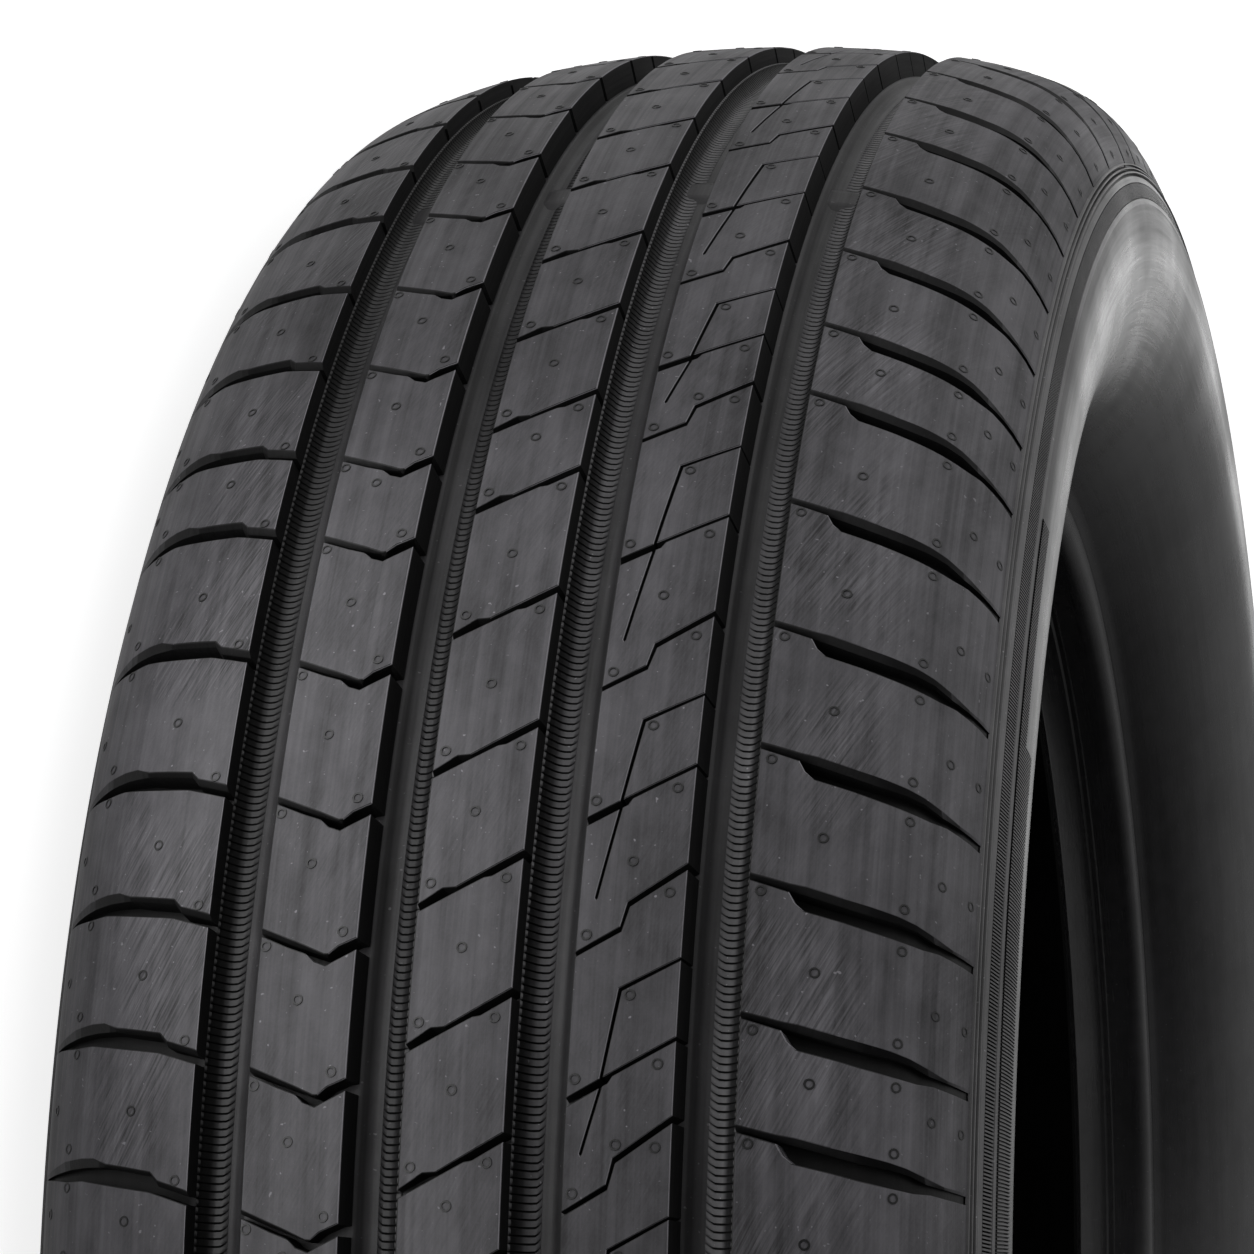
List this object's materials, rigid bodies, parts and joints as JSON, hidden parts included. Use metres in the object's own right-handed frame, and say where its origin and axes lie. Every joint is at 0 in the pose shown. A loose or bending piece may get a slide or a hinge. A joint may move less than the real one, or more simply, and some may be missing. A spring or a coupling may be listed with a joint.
{
  "type": "car tyre",
  "caption": "Radial passenger car tyre off its rim: straight tread grooves between ribs with angled sipes, slotted shoulders, plain sidewalls and open bore.",
  "frame": {"origin": "on the tyre's axis, in the plane that the lower sidewall rests on", "axes": "+Z along the tyre's axis, up out of the upper bead; X and Y across the tread"},
  "size_m": [0.632, 0.632, 0.198],
  "materials": {
    "tread_rubber": "satin moulded black rubber"
  },
  "bodies": {
    "root": {"tyre": "tread_rubber"}
  },
  "joints": []
}
